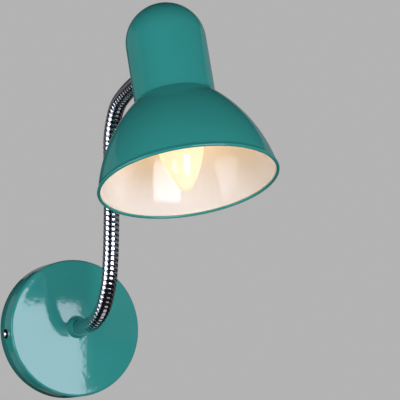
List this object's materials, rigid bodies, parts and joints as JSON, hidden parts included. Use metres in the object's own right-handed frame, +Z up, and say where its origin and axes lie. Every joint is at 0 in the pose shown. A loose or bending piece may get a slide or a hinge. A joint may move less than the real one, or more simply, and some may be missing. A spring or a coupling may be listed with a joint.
{
  "type": "gooseneck wall sconce",
  "caption": "Wall light with a round cup on the wall, a ribbed bendable chrome arm and a bell shade that hangs over a candle lamp and aims where the arm is bent.",
  "frame": {"origin": "centre of the cup's back, on the wall, midway between the two wall screw slots", "axes": "+Y points into the wall, -Y out into the room, +Z up, and +X to the right of someone who faces the wall"},
  "size_m": [0.1339, 0.3103, 0.2837],
  "materials": {
    "enamel": "gloss enamel outside, cream inside the shade",
    "chrome": "polished",
    "zinc": "zinc plated",
    "brass": "bright",
    "nickel": "nickel plated",
    "porcelain": "glazed",
    "block_plastic": "translucent nylon",
    "opal_glass": "opal, lit",
    "black_glass": "black vitrite",
    "wire_brown": "insulation",
    "wire_blue": "insulation",
    "wire_earth": "green and yellow insulation"
  },
  "bodies": {
    "wall_mount": {"canopy": "enamel", "canopy_screws": "chrome", "wall_bracket": "zinc", "earth_screw": "zinc", "earth_tag": "zinc", "block_screw": "zinc", "terminal_block": "block_plastic", "terminal_inserts": "brass", "terminal_screws": "zinc", "base_nipple": "brass", "base_washer": "zinc", "base_nut": "zinc", "base_live_wire": "wire_brown", "base_neutral_wire": "wire_blue", "base_earth_wire": "wire_earth", "arm_coil_01": "chrome"},
    "coil_02": {"arm_coil_02": "chrome"},
    "coil_03": {"arm_coil_03": "chrome"},
    "coil_04": {"arm_coil_04": "chrome"},
    "coil_05": {"arm_coil_05": "chrome"},
    "coil_06": {"arm_coil_06": "chrome"},
    "coil_07": {"arm_coil_07": "chrome"},
    "coil_08": {"arm_coil_08": "chrome"},
    "coil_09": {"arm_coil_09": "chrome"},
    "coil_10": {"arm_coil_10": "chrome"},
    "coil_11": {"arm_coil_11": "chrome"},
    "coil_12": {"arm_coil_12": "chrome"},
    "head": {"arm_coil_13": "chrome", "shade_shell": "enamel", "head_nipple": "brass", "head_washer": "zinc", "head_nut": "zinc", "lampholder_bracket": "zinc", "lampholder_screws": "zinc", "lampholder_body": "porcelain", "holder_sleeve": "brass", "holder_terminals": "brass", "centre_contact": "brass", "head_live_wire": "wire_brown", "head_neutral_wire": "wire_blue", "head_earth_wire": "wire_earth", "head_earth_tag": "zinc", "lamp_glass": "opal_glass", "lamp_cap": "nickel", "lamp_insulator": "black_glass", "lamp_contact": "nickel"}
  },
  "joints": [
    {"name": "lower_pitch", "type": "hinge", "parent": "wall_mount", "child": "coil_02", "pos_m": [0, -0.049, 0], "axis": [1, 0, 0.0096], "range_deg": [-8, 12]},
    {"name": "lower_side", "type": "hinge", "parent": "coil_02", "child": "coil_03", "pos_m": [-0.00005, -0.07169, 0.00464], "axis": [-0.0088, 0.3987, 0.917], "range_deg": [-12, 12]},
    {"name": "lower_pitch_2", "type": "hinge", "parent": "coil_03", "child": "coil_04", "pos_m": [-0.00018, -0.08956, 0.01909], "axis": [1, 0, 0.0096], "range_deg": [-8, 12]},
    {"name": "lower_side_2", "type": "hinge", "parent": "coil_04", "child": "coil_05", "pos_m": [-0.00039, -0.09878, 0.04034], "axis": [-0.0019, 0.9799, 0.1994], "range_deg": [-12, 12]},
    {"name": "lower_pitch_3", "type": "hinge", "parent": "coil_05", "child": "coil_06", "pos_m": [-0.00061, -0.10215, 0.06348], "axis": [1, 0, 0.0096], "range_deg": [-8, 12]},
    {"name": "lower_side_3", "type": "hinge", "parent": "coil_06", "child": "coil_07", "pos_m": [-0.00083, -0.10379, 0.08682], "axis": [-0.0005, 0.9986, 0.0523], "range_deg": [-12, 12]},
    {"name": "upper_pitch", "type": "hinge", "parent": "coil_07", "child": "coil_08", "pos_m": [-0.00106, -0.10451, 0.1102], "axis": [1, 0, 0.0096], "range_deg": [-12, 12]},
    {"name": "upper_side", "type": "hinge", "parent": "coil_08", "child": "coil_09", "pos_m": [-0.00128, -0.10482, 0.1336], "axis": [-0.0002, 0.9998, 0.0175], "range_deg": [-12, 12]},
    {"name": "upper_pitch_2", "type": "hinge", "parent": "coil_09", "child": "coil_10", "pos_m": [-0.0015, -0.11097, 0.15579], "axis": [1, 0, 0.0096], "range_deg": [-12, 12]},
    {"name": "upper_side_2", "type": "hinge", "parent": "coil_10", "child": "coil_11", "pos_m": [-0.00163, -0.12842, 0.17034], "axis": [-0.009, 0.3338, 0.9426], "range_deg": [-12, 12]},
    {"name": "upper_pitch_3", "type": "hinge", "parent": "coil_11", "child": "coil_12", "pos_m": [-0.00169, -0.15093, 0.17661], "axis": [1, 0, 0.0096], "range_deg": [-12, 12]},
    {"name": "upper_side_3", "type": "hinge", "parent": "coil_12", "child": "head", "pos_m": [-0.00175, -0.17363, 0.18226], "axis": [-0.0092, 0.284, 0.9588], "range_deg": [-12, 12]}
  ],
  "couplings": [
    {"joint": "lower_pitch_2", "follows": "lower_pitch", "ratio": 1},
    {"joint": "lower_side_2", "follows": "lower_side", "ratio": 1},
    {"joint": "lower_pitch_3", "follows": "lower_pitch", "ratio": 1},
    {"joint": "lower_side_3", "follows": "lower_side", "ratio": 1},
    {"joint": "upper_pitch_2", "follows": "upper_pitch", "ratio": 1},
    {"joint": "upper_side_2", "follows": "upper_side", "ratio": 1},
    {"joint": "upper_pitch_3", "follows": "upper_pitch", "ratio": 1},
    {"joint": "upper_side_3", "follows": "upper_side", "ratio": 1}
  ]
}
